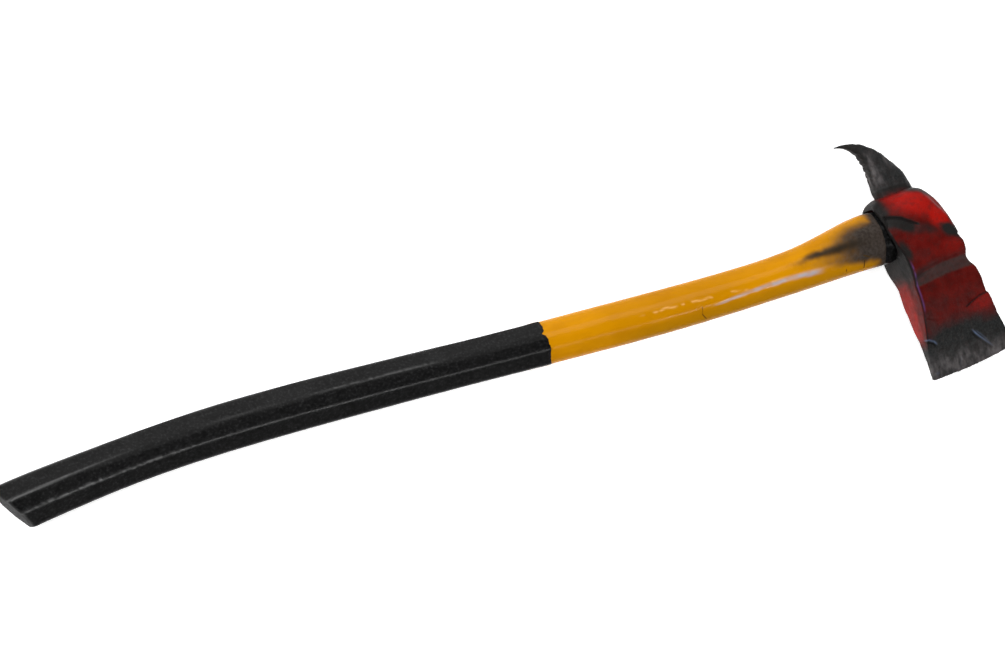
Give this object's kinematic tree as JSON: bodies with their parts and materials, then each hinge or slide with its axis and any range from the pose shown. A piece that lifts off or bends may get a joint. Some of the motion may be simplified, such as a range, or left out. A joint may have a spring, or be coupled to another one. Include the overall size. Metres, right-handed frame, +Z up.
{
  "type": "pick-head fire axe",
  "caption": "Pick-head fire axe: red steel head with cutting blade and hooked pick, long S-curved yellow composite handle, black rubber grip over its lower half.",
  "frame": {"origin": "middle of the bottom of the bounding box, on the surface that the axe lies on", "axes": "+X along the handle from the butt to the crown of the head, +Y from the cutting edge to the pick, +Z up from the cheek that the axe lies on"},
  "size_m": [0.915, 0.2208, 0.044],
  "materials": {
    "head_steel": "worn red paint on blackened forged steel, bare and dark towards the edge and on the pick",
    "fibreglass": "pultruded fibreglass, matt",
    "yellow_jacket": "glossy amber yellow, sooted near the head",
    "grip_rubber": "satin black dipped rubber",
    "plug_plastic": "moulded plastic, matt",
    "collar_rubber": "black rubber, matt",
    "epoxy": "cured dark resin"
  },
  "bodies": {
    "root": {"axe_head": "head_steel", "handle_core": "fibreglass", "handle_jacket": "yellow_jacket", "grip_sleeve": "grip_rubber", "butt_plug": "plug_plastic", "eye_collar": "collar_rubber", "eye_epoxy": "epoxy"}
  },
  "joints": []
}
